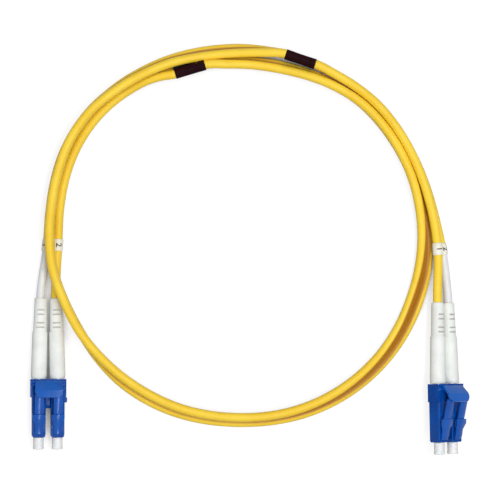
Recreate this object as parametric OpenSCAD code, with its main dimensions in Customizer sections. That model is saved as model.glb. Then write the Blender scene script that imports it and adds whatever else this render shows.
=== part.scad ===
// Duplex fiber optic patch cord, coiled once and laid on a table.
// A zip cord splits at two shrink sleeves into four legs. Each pair of legs
// ends in a latching duplex plug: two sprung ferrules in one clip with one trigger.
// Plug frame: +Y runs back to the cable, -Y forward to the ferrules, +Z to the latches,
// and stations along Y are counted from the clip's rear face. All sizes in mm.

/* [Zip cord and legs] */
// Diameter of one cable jacket
jacket_d = 3; // [2:0.1:3.2]
// Centre spacing of the two jackets in the zip cord
jacket_pitch = 3.1; // [3.05:0.05:3.4]
// Diameter of the white tube that ends one leg of each pair
tube_d = 2.8; // [2:0.1:3]
// Wall of the shrink sleeve at each split
shrink_wall = 0.35; // [0.3:0.05:0.6]
// Length of the shrink sleeve
shrink_l = 10.4; // [8:0.2:13]
// Length of a number label
label_l = 4; // [3:0.5:5]
// Wall of a number label
label_wall = 0.2; // [0.15:0.05:0.25]

/* [Connector body] */
// Spacing of the two connectors in a plug
port_pitch = 6.25; // [6.2:0.05:6.6]
// Width and height of the square front of a connector
body_w = 4.5; // [4.3:0.05:4.7]
// Width of the connector inside the clip
body_rear_w = 4.6; // [4.5:0.05:4.8]
// Height of the connector inside the clip
body_rear_h = 5.1; // [4.9:0.05:5.3]
// Length from the clip's rear face to the connector's nose
body_l = 19.3; // [18:0.1:21]
// Chamfer along the long edges of a connector
body_chamfer = 0.55; // [0.3:0.05:0.7]
// Bore of the connector for the spring and the sleeve of the adapter
body_bore_d = 3; // [2.8:0.05:3.2]
// Depth of the recess round the ferrule
recess_l = 3.1; // [2.6:0.1:3.6]

/* [Ferrule train] */
// Diameter of the ceramic ferrule
ferrule_d = 1.25; // [1.2:0.01:1.3]
// Reach of the ferrule past the nose
ferrule_reach = 2.3; // [1.8:0.1:2.8]
// Diameter of the collar that carries the ferrule
collar_d = 2.6; // [2.4:0.05:2.7]
// Length of that collar
collar_l = 1.2; // [0.8:0.1:1.6]
// Diameter of the barrel behind the collar
barrel_d = 1.6; // [1.5:0.05:1.7]
// Length of that barrel
barrel_l = 2.6; // [2:0.1:3.2]
// Wire of the ferrule spring
wire_d = 0.32; // [0.25:0.01:0.34]
// Turns of the ferrule spring
spring_turns = 6; // [5:1:6]
// Diameter of the buffered fiber
buffer_d = 0.9; // [0.6:0.05:0.95]

/* [Rear insert, crimp and boot] */
// Length of the insert inside the connector
insert_l = 8.3; // [7:0.1:9]
// Diameter of the stem that the crimp sleeve closes on
stem_d = 2.3; // [2:0.05:2.4]
// Length of that stem
stem_l = 5.2; // [4.6:0.1:5.6]
// Length of the crimp sleeve
crimp_l = 8; // [7.4:0.1:8.6]
// Wall of the crimp sleeve
crimp_wall = 0.25; // [0.2:0.05:0.3]
// Length of the boot
boot_l = 26.8; // [24:0.2:30]
// Diameter of the boot at the plug
boot_d = 5.3; // [5.2:0.05:5.5]
// Diameter of the boot at its tip
boot_tip_d = 4.1; // [4:0.05:4.4]
// Length of the slotted tail of the boot
boot_tail_l = 11.2; // [10:0.2:13]
// Inward lean of each boot, in degrees
boot_lean = 1.4; // [0:0.1:1.5]

/* [Latch, trigger and clip] */
// Width of a latch arm
latch_w = 3; // [2.6:0.1:3.4]
// Thickness of a latch arm
latch_t = 0.6; // [0.5:0.02:0.64]
// Width across the two latch lugs
lug_w = 4.3; // [4:0.05:4.5]
// Rise of the latch arm for each mm of its length
latch_rise = 0.2; // [0.18:0.005:0.205]
// Further rise of the arm's tail, behind the lugs, for each mm
tail_rise = 0.1; // [0:0.01:0.12]
// Length of the clip along the connectors
clip_l = 6; // [5.4:0.1:6.4]
// Wall of the clip beside the connectors
clip_wall = 0.45; // [0.3:0.05:0.6]
// Floor of the clip under the connectors
clip_floor = 0.35; // [0.3:0.05:0.6]
// Roof of the clip over the connectors
clip_roof = 0.8; // [0.75:0.05:0.9]
// Length of the tongue between the two connectors
tongue_l = 3.7; // [3:0.1:4.4]
// Width of the trigger plate
trigger_w = 9.2; // [8.8:0.1:10.4]
// Thickness of the trigger plate
trigger_t = 0.75; // [0.6:0.05:0.9]
// Rise of the trigger plate for each mm behind its bend
trigger_rise = 1; // [0.9:0.02:1.1]
// Rise of the trigger plate for each mm in front of its bend
pad_rise = 0.27; // [0.15:0.01:0.3]

/* [Dust cap] */
// Diameter of the dust cap
cap_d = 3.5; // [3.3:0.1:3.9]
// Length of the dust cap outside the connector
cap_l = 4; // [3.2:0.1:4.4]
// Depth of the dust cap inside the connector
cap_stem_l = 1.7; // [1.2:0.1:2.2]

/* [Lay of the plugs] */
// Roll of the left plug, in degrees
roll_a = 8; // [6:1:11]
// Roll of the right plug, in degrees
roll_b = 41; // [39:1:44]
// Upward tip of the left plug's nose, in degrees
tip_a = 2.3; // [1.8:0.1:2.4]
// Upward tip of the right plug's nose, in degrees
tip_b = 3.5; // [3:0.1:3.6]
// Turn of the right plug on the table, nose outwards, in degrees
turn_b = 1; // [0:0.5:2]

/* [Hidden] */

A = 0; // the left plug and its legs
B = 1; // the right plug and its legs

round_fn = 40;
jacket_sides = 8;
jacket_r = jacket_d / 2;
tube_r = tube_d / 2;

// Clearances
fit = 0.05;  // between pieces that seat in each other
gap = 0.1;   // round what is threaded through
slip = 0.15; // where a straight piece sits in a leaning one
skin = 0.25; // least wall left behind a groove

// Stations along the connector
nose = -body_l;
seat = nose + recess_l + 0.5;
seat_wall = seat - 0.5;
holder_front = seat + fit;
collar_rear = holder_front + collar_l;
barrel_rear = collar_rear + barrel_l;
ferrule_rear = holder_front + 1.5;
ferrule_tip = nose - ferrule_reach;
insert_front = -insert_l;
insert_collar_l = 0.9;
stem_rear = insert_collar_l + stem_l;
crimp_front = insert_collar_l + 0.2;
crimp_rear = crimp_front + crimp_l;
crimp_step = stem_rear + 0.1;
jacket_start = stem_rear + 0.6;
fiber_end = stem_rear - 0.6;
taper_rear = -clip_l - 4.5;
taper_front = taper_rear - 2;

// Radii of the train
bore_r = body_bore_d / 2;
seat_hole_r = ferrule_d / 2 + 0.18;
spring_r = (barrel_d + wire_d) / 2 + 0.12;
buffer_hole_r = buffer_d / 2 + gap;
crimp_in_r = stem_d / 2 + slip;
crimp_out_r = max(crimp_in_r, jacket_r + fit) + crimp_wall;

// Boot
boot_front = 0.15;
boot_rear = boot_front + boot_l;
boot_step = boot_rear - boot_tail_l;
boot_tail_d = boot_tip_d + 0.4;
boot_body_d = boot_d - 0.3;
boot_pocket_r = crimp_out_r + fit;
boot_hole_r = jacket_r + gap;
lean_at = insert_collar_l + 0.1;
insert_collar_d = 2 * boot_pocket_r;

// Clip
half_pitch = port_pitch / 2;
pocket_w = body_rear_w + 2 * fit;
pocket_h = body_rear_h + 2 * fit;
clip_half_w = half_pitch + pocket_w / 2 + clip_wall;
clip_bottom = -pocket_h / 2 - clip_floor;
clip_top = pocket_h / 2 + clip_roof;
clip_roof_l = 2.2;
clip_chamfer = 0.5;
clip_keel = 0.9; // the larger chamfer along the clip's lower edges
tongue_w = port_pitch - pocket_w;
ear_l = 1.8;
ear_h = 1.6;
ear_out = 0.4;

// Latch, its root turns on a rounded seat behind the nose
root_r = 0.45;
latch_pivot = [0, nose + 1.2, max(body_w / 2, bore_r + skin + root_r + fit)];
latch_tail = -clip_l + 0.8;
latch_under = latch_pivot[2] + 0.07;
lug_rear = -clip_l - 5.7;
lug_front = lug_rear - 1.4;
lug_h = 0.35;
function latch_z(y) = latch_under + latch_rise * (y - latch_pivot[1]) + tail_rise * max(0, y - lug_rear);

// Trigger, its root turns on a rounded seat in the clip's roof
trigger_pivot = [0, -0.9, clip_top - fit];
trigger_tip = -clip_l;
trigger_under_at = -1.2;
trigger_under = clip_top + 0.1;
trigger_bend = trigger_under_at - 2.4;
bend_under = max(
    trigger_under + trigger_rise * (trigger_under_at - trigger_bend),
    latch_z(latch_tail) + latch_t + 0.24 - pad_rise * (trigger_bend - latch_tail)
);

// Dust cap
cap_front = nose - cap_l;
cap_hole_r = ferrule_d / 2 + gap + 0.05;
cap_stem_r = bore_r - gap;

// Lay on the table: middle of the clip's rear face, from the middle of the coil
plug_x = [-63.9, 67.95];
plug_y = [-47.3, -48.8];
roll = [roll_a, roll_b];
tip = [tip_a, tip_b];
turn = [0, turn_b];

// Middle of the coil, from the point on the table midway between the plugs
coil_at = [-3.1, 46.3, 0];

// Height at which the rolled clip's lowest edge touches the table
function clip_reach(a) = max(
    (clip_half_w - clip_keel) * sin(a) - clip_bottom * cos(a),
    clip_half_w * sin(a) - (clip_bottom + clip_keel) * cos(a)
);
function plug_z(p) = clip_reach(roll[p]) * cos(tip[p]);
function plug_at(p) = coil_at + [plug_x[p], plug_y[p], plug_z(p)];

// A point of the plug frame, on the table
function rolled(v, a) = [v[0] * cos(a) + v[2] * sin(a), v[1], v[2] * cos(a) - v[0] * sin(a)];
function tipped(v, a) = [v[0], v[1] * cos(a) + v[2] * sin(a), v[2] * cos(a) - v[1] * sin(a)];
function swung(v, a) = [v[0] * cos(a) - v[1] * sin(a), v[1] * cos(a) + v[0] * sin(a), v[2]];
function on_table(p, v) = plug_at(p) + swung(tipped(rolled(v, roll[p]), tip[p]), turn[p]);

// Side of a port: connector 1 is at -X, connector 2 at +X
function side(n) = n == 1 ? -1 : 1;

// A point on the leaning axis of a boot, y behind the clip's rear face
function boot_axis(p, n, y) = on_table(p, [
    side(n) * (half_pitch - (y - lean_at) * sin(boot_lean)),
    lean_at + (y - lean_at) * cos(boot_lean),
    0
]);

// ---- Cord routes, from the middle of the coil ----

// Zip cord: angle, radius, height of its underside, tilt (0 and 180 flat, 90 on edge)
zip_route = [
    [94, 58.2, 0.2, 112], [87, 58.1, 0.0, 117], [80, 58.1, 0.0, 119], [72, 58.4, 0.0, 116],
    [64, 59.0, 0.0, 108], [56, 59.6, 0.0, 98], [48, 60.2, 0.0, 92], [38, 60.4, 0.0, 90],
    [28, 60.5, 0.0, 92], [18, 60.7, 0.0, 98], [9, 61.1, 0.0, 114], [0, 61.6, 0.0, 134],
    [-10, 61.9, 0.0, 155], [-20, 62.0, 0.0, 170], [-30, 62.2, 0.0, 160],
    [-40, 62.3, 0.0, 148], [-50, 62.2, 0.0, 134], [-60, 61.9, 0.0, 127],
    [-70, 61.6, 0.0, 117], [-80, 61.3, 0.0, 111], [-90, 60.9, 0.0, 112],
    [-100, 61.0, 0.0, 115], [-110, 61.3, 0.0, 121], [-120, 61.5, 0.0, 128],
    [-130, 61.7, 0.0, 117], [-140, 61.7, 0.3, 98], [-150, 61.8, 1.8, 90],
    [-160, 62.0, 4.2, 90], [-170, 62.9, 4.3, 90], [-180, 63.1, 3.9, 90],
    [-190, 63.4, 3.4, 90], [-200, 64.1, 3.3, 90], [-210, 64.9, 3.3, 90],
    [-220, 64.8, 3.3, 92], [-230, 64.1, 3.3, 106], [-240, 63.3, 3.2, 112],
    [-248, 63.0, 2.0, 112], [-256, 62.7, 0.8, 112], [-264, 62.5, 0.3, 112],
    [-271, 62.4, 0.3, 108], [-277.5, 62.4, 0.5, 98]
];

// Shrink sleeves: angle, radius, height of the cord's underside, tilt at the middle
sleeve_at = [[106.6, 58.7, 0.6, 112], [-288.8, 62.5, 0.6, 92]];

// Legs, from the split to the plug: angle, radius, height of the middle
leg_a1_route = [
    [115, 60.9, 1.8], [121, 62.8, 1.5], [129, 64.4, 1.5], [137, 65.3, 1.5], [146, 65.5, 1.5],
    [155, 65.3, 1.5], [164, 64.6, 1.5], [172, 64.1, 1.5], [182.5, 64.4, 2]
];
leg_a2_route = [
    [115, 59.2, 4.7], [120, 60.4, 4.2], [127, 61.3, 3.0], [135, 62.0, 2.0], [144, 62.3, 1.6],
    [153, 62.1, 1.5], [162, 61.5, 1.5], [171, 60.9, 1.6], [182.5, 60.8, 2.2]
];
leg_b1_route = [
    [60, 62.7, 4.9], [52, 63.1, 4.7], [44, 63.5, 4.7], [36, 63.5, 4.7], [28, 63.5, 4.7],
    [20, 63.6, 4.7], [12, 64.0, 4.7], [4, 64.8, 4.9], [-3.5, 65.8, 5.2]
];
leg_b2_route = [
    [60, 62.8, 1.6], [52, 63.2, 1.5], [44, 63.6, 1.5], [36, 63.6, 1.5], [28, 63.7, 1.5],
    [20, 64.0, 1.5], [12, 64.6, 1.5], [4, 65.7, 1.6], [-3.5, 67.5, 1.8]
];

// ---- Route functions ----

// Rotated unit vectors at an angle round the coil
function outward(a) = [cos(a), sin(a), 0];
function onward(a) = [sin(a), -cos(a), 0];
function polar(row) = coil_at + row[1] * outward(row[0]) + [0, 0, row[2]];

// Direction from jacket 1 to jacket 2 in a tilted zip cord
function pair_way(row) = cos(row[3]) * outward(row[0]) + [0, 0, sin(row[3])];
function zip_middle(row) = coil_at + row[1] * outward(row[0])
    + [0, 0, row[2] + jacket_r + jacket_pitch / 2 * sin(row[3])];

// A point along a sleeve's straight axis, s onwards of its middle
function sleeve_point(p, s) = zip_middle(sleeve_at[p]) + s * onward(sleeve_at[p][0]);
function jacket_in_sleeve(p, j, s) =
    sleeve_point(p, s) + j * jacket_pitch / 2 * pair_way(sleeve_at[p]);

// The zip cord runs from inside sleeve A to inside sleeve B
zip_end = 1.5;
sleeve_out = shrink_l / 2 + 0.8;
zip_line = concat(
    [sleeve_point(A, -zip_end), sleeve_point(A, sleeve_out)],
    [for (row = zip_route) zip_middle(row)],
    [sleeve_point(B, -sleeve_out), sleeve_point(B, zip_end)]
);
zip_ways = concat(
    [pair_way(sleeve_at[A]), pair_way(sleeve_at[A])],
    [for (row = zip_route) pair_way(row)],
    [pair_way(sleeve_at[B]), pair_way(sleeve_at[B])]
);

// A leg starts in its sleeve, a small gap behind the zip cord's end, and ends in its crimp
leg_start = zip_end + 0.1;
function leg_line(p, n, j, route) = concat(
    [
        jacket_in_sleeve(p, j, (p == A ? -1 : 1) * leg_start),
        jacket_in_sleeve(p, j, (p == A ? -1 : 1) * (shrink_l / 2 + 1))
    ],
    [for (row = route) polar(row)],
    [boot_axis(p, n, boot_rear + jacket_d), boot_axis(p, n, jacket_start)]
);
line_a1 = leg_line(A, 1, -1, leg_a1_route);
line_a2 = leg_line(A, 2, 1, leg_a2_route);
line_b1 = leg_line(B, 1, 1, leg_b1_route);
line_b2 = leg_line(B, 2, -1, leg_b2_route);

// ---- Sweeping ----

function unit(v) = v / norm(v);
function last(list) = len(list) - 1;
function part_of(list, from, to) = [for (i = [from:to]) list[i]];
function heading(line, i) = unit(line[min(i + 1, last(line))] - line[max(i - 1, 0)]);
function level_way(way) = unit(cross(way, [0, 0, 1]));

// Round outline, and the outline of two joined jackets, in a plane of x and y
function round_outline(r, sides) = [
    for (i = [0:sides - 1]) r * [cos(360 * i / sides), sin(360 * i / sides)]
];
jacket_points = 8;
web_angle = 165; // where each jacket meets the web, from the outer side
function jacket_arc(s) = [
    for (i = [0:jacket_points - 1])
        let (a = -web_angle + 2 * web_angle * i / (jacket_points - 1))
        s * [jacket_pitch / 2 + jacket_r * cos(a), jacket_r * sin(a)]
];
zip_outline = concat(jacket_arc(1), jacket_arc(-1));

// Sides of a sweep, as triangles between ring i and ring i + 1 of n points
function sweep_sides(rings, n) = [
    for (i = [0:rings - 2]) for (j = [0:n - 1])
        let (a = i * n + j, b = i * n + (j + 1) % n)
        each [[a, a + n, b], [b, a + n, b + n]]
];
// Ends: a fan on a round outline, a ladder of quads on the outline of two jackets
function fan(n) = [for (j = [1:n - 2]) [0, j, j + 1]];
function quad(a, b, c, d) = [[a, b, c], [a, c, d]];
function ladder(n, from) = [
    for (k = [0:n / 2 - 2]) each quad(from + k, from + k + 1, from + n - 2 - k, from + n - 1 - k)
];
zip_cap = concat(
    ladder(jacket_points, 0),
    ladder(jacket_points, jacket_points),
    quad(0, jacket_points - 1, jacket_points, 2 * jacket_points - 1)
);
function flipped(faces) = [for (f = faces) [f[2], f[1], f[0]]];
function shifted(faces, by) = [for (f = faces) [for (v = f) v + by]];

// A tube along a line: each ring stands square to the line, with its x axis along ways[i]
module sweep(line, ways, outline, cap) {
    n = len(outline);
    points = [
        for (i = [0:last(line)])
            let (h = heading(line, i), x = unit(ways[i] - (ways[i] * h) * h), y = cross(h, x))
            for (q = outline) line[i] + q[0] * x + q[1] * y
    ];
    faces = concat(sweep_sides(len(line), n), cap, shifted(flipped(cap), n * last(line)));
    polyhedron(points, faces);
}

module tube_along(line, r) {
    ways = [for (i = [0:last(line)]) level_way(heading(line, i))];
    sweep(line, ways, round_outline(r, jacket_sides), fan(jacket_sides));
}

// ---- Placing ----

module at_plug(p) {
    translate(plug_at(p)) rotate([-tip[p], 0, turn[p]]) rotate([0, roll[p], 0]) children();
}
module at_port(p, n) {
    at_plug(p) translate([side(n) * half_pitch, 0, 0]) children();
}
module at_boot(p, n) {
    at_port(p, n) translate([0, lean_at, 0]) rotate([0, 0, side(n) * boot_lean])
        translate([0, -lean_at, 0]) children();
}
// Turned about the port's axis from points of radius and station
module turned(points) {
    rotate([-90, 0, 0]) rotate_extrude($fn = round_fn) polygon(points);
}
module hole(r, from, to) {
    translate([0, from, 0]) rotate([-90, 0, 0]) cylinder(r = r, h = to - from, $fn = round_fn);
}
// A roller along X, centred on a pivot
module roller(pivot, r, w) {
    translate(pivot) rotate([0, 90, 0]) cylinder(r = r, h = w, center = true, $fn = round_fn);
}
// A side profile of points [station, height], w wide in X
module side_profile(points, w) {
    rotate([90, 0, 90]) linear_extrude(w, center = true) polygon(points);
}
// A plan of points [x, station], from z to z + h
module plan(points, z, h) {
    translate([0, 0, z]) linear_extrude(h) polygon(points);
}
// A front profile of a box w by h with chamfered corners, between two stations
module front_profile(w, h, c, from, to) {
    x = w / 2;
    z = h / 2;
    translate([0, to, 0]) rotate([90, 0, 0]) linear_extrude(to - from)
        polygon([
            [-x + c, -z], [x - c, -z], [x, -z + c], [x, z - c],
            [x - c, z], [-x + c, z], [-x, z - c], [-x, -z + c]
        ]);
}

// ---- Connector ----

module housing(p, n) {
    rear = body_rear_w / 2;
    front = body_w / 2;
    rear_z = body_rear_h / 2;
    lead = 1;
    cut = 0.4;
    color("royalblue") at_port(p, n) difference() {
        intersection() {
            plan([
                [-rear, 0], [-rear, taper_rear], [-front, taper_front], [-front, nose + lead],
                [-front + cut / 3, nose + lead / 3], [-front + cut, nose], [front - cut, nose],
                [front - cut / 3, nose + lead / 3], [front, nose + lead], [front, taper_front],
                [rear, taper_rear], [rear, 0]
            ], -body_rear_h, 2 * body_rear_h);
            side_profile([
                [0, -rear_z], [taper_rear, -rear_z], [taper_front, -front],
                [nose + lead, -front], [nose + lead / 3, -front + cut / 3], [nose, -front + cut],
                [nose, front - cut / 2], [nose + lead / 4, front], [taper_front, front],
                [taper_rear, rear_z], [0, rear_z]
            ], 2 * body_rear_w);
            front_profile(body_rear_w, body_rear_h, body_chamfer, nose, 0);
        }
        hole(bore_r, nose - 1, seat_wall);
        hole(seat_hole_r, nose, seat + 1);
        hole(bore_r, seat, 1);
        roller(latch_pivot, root_r + fit, latch_w + 4 * fit);
    }
}

module latch(p, n) {
    from = latch_pivot[1];
    low = latch_under;
    high = low + latch_t;
    lug_z = latch_z(lug_rear);
    end_z = latch_z(latch_tail);
    color("dodgerblue") at_port(p, n) {
        roller(latch_pivot, root_r, latch_w);
        side_profile([
            [from, latch_pivot[2] + 0.05], [from + root_r, low], [lug_rear, lug_z],
            [latch_tail, end_z], [latch_tail + 0.15, end_z + latch_t / 2],
            [latch_tail, end_z + latch_t], [lug_rear, lug_z + latch_t],
            [from + 1.2, high + latch_rise * 1.2], [from, latch_pivot[2] + root_r - 0.02]
        ], latch_w);
        // The two lugs catch the adapter with their rear faces and ramp up from the front
        intersection() {
            side_profile([
                [lug_front - 2.4, lug_z - latch_rise * 3.6], [lug_rear, lug_z],
                [lug_rear, lug_z + latch_t + lug_h],
                [lug_front, lug_z + latch_t + lug_h - 0.1],
                [lug_front - 2.4, lug_z - latch_rise * 3.6 + latch_t / 2]
            ], lug_w);
            plan([
                [-lug_w / 2, lug_rear], [-lug_w / 2, lug_front], [-latch_w / 2, lug_front - 2.4],
                [latch_w / 2, lug_front - 2.4], [lug_w / 2, lug_front], [lug_w / 2, lug_rear]
            ], 0, 3 * body_w);
        }
    }
}

module ferrule(p, n) {
    r = ferrule_d / 2;
    edge = 0.12;
    color("white") at_port(p, n) turned([
        [0, ferrule_tip], [r - edge, ferrule_tip], [r, ferrule_tip + edge],
        [r, ferrule_rear], [0, ferrule_rear]
    ]);
}

module ferrule_holder(p, n) {
    color("silver") at_port(p, n) difference() {
        turned([
            [ferrule_d / 2, holder_front], [collar_d / 2 - 0.2, holder_front],
            [collar_d / 2, holder_front + 0.2], [collar_d / 2, collar_rear],
            [barrel_d / 2, collar_rear], [barrel_d / 2, barrel_rear],
            [buffer_hole_r, barrel_rear], [buffer_hole_r, ferrule_rear], [ferrule_d / 2, ferrule_rear]
        ]);
        // Two key slots in the collar
        for (s = [-1, 1])
            translate([s * collar_d / 2, (holder_front + collar_rear) / 2, 0])
                cube([0.5, 2 * collar_l, 0.5], center = true);
    }
}

spring_from = collar_rear + 0.04 + wire_d / 2;
spring_to = insert_front - 0.04 - wire_d / 2;
curl_rings = 8;
spring_rings = spring_turns * curl_rings;
spring_line = [
    for (i = [0:spring_rings])
        let (a = 360 * i / curl_rings, y = spring_from + (spring_to - spring_from) * i / spring_rings)
        [spring_r * cos(a), y, spring_r * sin(a)]
];

module ferrule_spring(p, n) {
    ways = [for (v = spring_line) unit([v[0], 0, v[2]])];
    color("gray") at_port(p, n) sweep(spring_line, ways, round_outline(wire_d / 2, 6), fan(6));
}

module buffered_fiber(p, n) {
    color("gold") at_port(p, n) hole(buffer_d / 2, ferrule_rear + fit, fiber_end);
}

module rear_insert(p, n) {
    groove = 0.12;
    r = bore_r - fit;
    color("gainsboro") at_port(p, n) difference() {
        turned([
            [buffer_hole_r, insert_front], [r - 0.2, insert_front], [r, insert_front + 0.3],
            [r, 0.02], [insert_collar_d / 2, 0.02], [insert_collar_d / 2, insert_collar_l],
            [stem_d / 2, insert_collar_l], [stem_d / 2, stem_rear], [buffer_hole_r, stem_rear]
        ]);
        // Grooves that the crimp sleeve bites into
        for (y = [insert_collar_l + 1 : 0.9 : stem_rear - 0.6])
            translate([0, y, 0]) rotate([-90, 0, 0]) difference() {
                cylinder(r = stem_d, h = 0.3, $fn = round_fn);
                cylinder(r = stem_d / 2 - groove, h = 0.3, $fn = round_fn);
            }
    }
}

module crimp_sleeve(p, n) {
    color("darkgray") at_boot(p, n) turned([
        [crimp_in_r, crimp_front], [crimp_out_r, crimp_front], [crimp_out_r, crimp_rear],
        [jacket_r + fit, crimp_rear], [jacket_r + fit, crimp_step], [crimp_in_r, crimp_step]
    ]);
}

// Slots cross the tail in pairs, each pair from opposite sides
slot_w = 0.5;
slot_first = 1.5;
slot_pairs = [0, 1.5, 4.3, 5.8];
module boot(p, n) {
    depth = boot_hole_r + 0.1;
    color("white") at_boot(p, n) difference() {
        turned([
            [boot_hole_r, boot_rear], [boot_tip_d / 2 - 0.2, boot_rear],
            [boot_tip_d / 2, boot_rear - 0.3], [boot_tail_d / 2, boot_step],
            [boot_body_d / 2, boot_step], [boot_d / 2, boot_front + 1.2],
            [boot_d / 2 - 0.15, boot_front], [boot_pocket_r + slip, boot_front],
            [boot_pocket_r + slip, crimp_rear + 0.2], [boot_hole_r, crimp_rear + 0.8]
        ]);
        for (i = [0:len(slot_pairs) - 1])
            for (s = [-1, 1])
                translate([0, boot_step + slot_first + slot_pairs[i], s * (depth + boot_d / 2)])
                    cube([boot_d, slot_w, boot_d], center = true);
    }
}

module dust_cap(p, n) {
    r = cap_d / 2;
    color("whitesmoke") at_port(p, n) turned([
        [0, cap_front], [r - 0.15, cap_front], [r + 0.1, cap_front + 0.25],
        [r + 0.1, cap_front + 0.7], [r, cap_front + 1], [r, nose - fit],
        [cap_stem_r, nose - fit], [cap_stem_r, nose + cap_stem_l - 0.2],
        [cap_stem_r - 0.2, nose + cap_stem_l], [cap_hole_r, nose + cap_stem_l],
        [cap_hole_r, ferrule_tip - 0.3], [0, ferrule_tip - 0.3]
    ]);
}

// ---- Clip and trigger ----

module duplex_clip(p) {
    w = clip_half_w;
    c = clip_chamfer;
    k = clip_keel;
    color("mediumblue") at_plug(p) difference() {
        union() {
            difference() {
                rotate([90, 0, 0]) linear_extrude(clip_l) polygon([
                    [-w + k, clip_bottom], [w - k, clip_bottom], [w, clip_bottom + k],
                    [w, clip_top - c], [w - c, clip_top], [-w + c, clip_top],
                    [-w, clip_top - c], [-w, clip_bottom + k]
                ]);
                // The roof stops short, so that the latch tails are free
                translate([-w - 1, -clip_l - 1, pocket_h / 2])
                    cube([2 * w + 2, clip_l + 1 - clip_roof_l, 2 * clip_roof]);
            }
            // Snap ear in front of one side wall
            plan([
                [w - clip_wall, -clip_l + 1], [w - clip_wall, -clip_l - ear_l],
                [w + ear_out / 2, -clip_l - ear_l], [w + ear_out, -clip_l - ear_l + 0.5],
                [w + ear_out, -clip_l - 0.2], [w, -clip_l], [w, -clip_l + 1]
            ], -ear_h / 2, ear_h);
            // Tongue between the connectors
            side_profile([
                [-clip_l + 0.5, clip_bottom], [-clip_l - tongue_l + 0.8, clip_bottom],
                [-clip_l - tongue_l, clip_bottom + 0.8], [-clip_l - tongue_l, -0.4],
                [-clip_l - tongue_l + 1, 0.6], [-clip_l + 0.5, 0.6]
            ], tongue_w);
        }
        for (n = [1, 2]) translate([side(n) * half_pitch, 0, 0])
            front_profile(pocket_w, pocket_h, body_chamfer, -clip_l - tongue_l - 1, 1);
        roller(trigger_pivot, root_r + fit, 4 * w);
    }
}

// A point lifted square to a plate of a given rise, by the plate's thickness
function lifted(point, rise) = point + trigger_t * unit([rise, 1]);

module trigger(p) {
    w = trigger_w / 2;
    corner = 1.3;
    root = [trigger_under_at, trigger_under];
    bend = [trigger_bend, bend_under];
    front = [trigger_tip, bend_under + pad_rise * (trigger_bend - trigger_tip)];
    color("blue") at_plug(p) intersection() {
        union() {
            roller(trigger_pivot, root_r, 2 * w);
            side_profile([
                [trigger_pivot[1] + 0.2, trigger_pivot[2] + 0.1], root, bend,
                front, front + [-0.05, trigger_t / 2], lifted(front, pad_rise),
                lifted(bend, pad_rise), lifted(bend, trigger_rise),
                lifted(root, trigger_rise) + [-0.1, 0.1],
                [trigger_pivot[1] + root_r - 0.1, trigger_pivot[2] + root_r / 2]
            ], 2 * w);
        }
        // The front corners are rounded off by two cuts each
        plan([
            [-w + 0.2, 1], [-w + 0.2, -1], [-w, trigger_bend], [-w, trigger_tip + 1.7],
            [-w + corner / 3, trigger_tip + 0.8], [-w + corner, trigger_tip], [-w + corner, trigger_tip - 1],
            [w - corner, trigger_tip - 1], [w - corner, trigger_tip], [w - corner / 3, trigger_tip + 0.8],
            [w, trigger_tip + 1.7], [w, trigger_bend], [w - 0.2, -1], [w - 0.2, 1]
        ], 0, 4 * clip_top);
    }
}

// ---- Cable ----

module zip_cord() {
    color("gold") sweep(zip_line, zip_ways, zip_outline, zip_cap);
}

module leg(line) {
    color("gold") tube_along(line, jacket_r);
}

module white_tube(line) {
    color("white") tube_along(line, tube_r);
}

// The label sits on the last route point before the boot, where the leg runs straight
function label_index(line) = last(line) - 2;
function label_way(line) = heading(line, label_index(line));
function label_point(line, s) = line[label_index(line)] + s * label_way(line);
label_reach = label_l / 2 + 0.3;
function whole_leg(line) = concat(
    part_of(line, 0, label_index(line) - 1),
    [label_point(line, -label_reach), label_point(line, label_reach)],
    part_of(line, label_index(line) + 1, last(line))
);

// The jacket ends in the middle of its label, and the white tube runs on from there
function before_label(line) = concat(
    part_of(line, 0, label_index(line) - 1),
    [label_point(line, -label_reach), label_point(line, -fit)]
);
function after_label(line) = concat(
    [label_point(line, fit), label_point(line, label_reach)],
    part_of(line, label_index(line) + 1, last(line))
);

// A straight piece along direction w, from its middle
module facing(at, w) {
    translate(at) multmatrix([
        [level_way(w)[0], cross(w, level_way(w))[0], w[0], 0],
        [level_way(w)[1], cross(w, level_way(w))[1], w[1], 0],
        [level_way(w)[2], cross(w, level_way(w))[2], w[2], 0]
    ]) children();
}

module label(line) {
    color("ivory") facing(label_point(line, 0), label_way(line)) difference() {
        cylinder(r = jacket_r + fit + label_wall, h = label_l, center = true, $fn = round_fn);
        cylinder(r = jacket_r + fit, h = label_l + 1, center = true, $fn = round_fn);
    }
}

// Two round ends joined by a flat waist
module oval(r) {
    for (s = [-1, 1]) translate([s * jacket_pitch / 2, 0]) circle(r = r, $fn = round_fn);
    square([jacket_pitch, 2 * r], center = true);
}

module shrink_sleeve(p) {
    row = sleeve_at[p];
    color([0.12, 0.08, 0.08]) translate(zip_middle(row)) rotate([0, 0, row[0]])
        rotate([90, 0, 0]) rotate([0, 0, row[3]]) linear_extrude(shrink_l, center = true)
            difference() {
                oval(jacket_r + fit + shrink_wall);
                oval(jacket_r + fit);
            }
}

// Least gap between jackets a turn apart, measured on points of the zip cord
zip_points = [
    for (i = [0:last(zip_line)]) for (j = [-1, 1]) [i, zip_line[i] + j * jacket_pitch / 2 * zip_ways[i]]
];
self_gap = min([
    for (a = zip_points) for (b = zip_points) if (b[0] > a[0] + 10) norm(b[1] - a[1])
]) - jacket_d;
echo(least_gap_of_the_zip_cord = self_gap);
curl_gap = min([
    for (i = [0:last(spring_line) - curl_rings]) norm(spring_line[i + curl_rings] - spring_line[i])
]) - wire_d;
echo(least_gap_of_the_spring = curl_gap);

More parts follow.
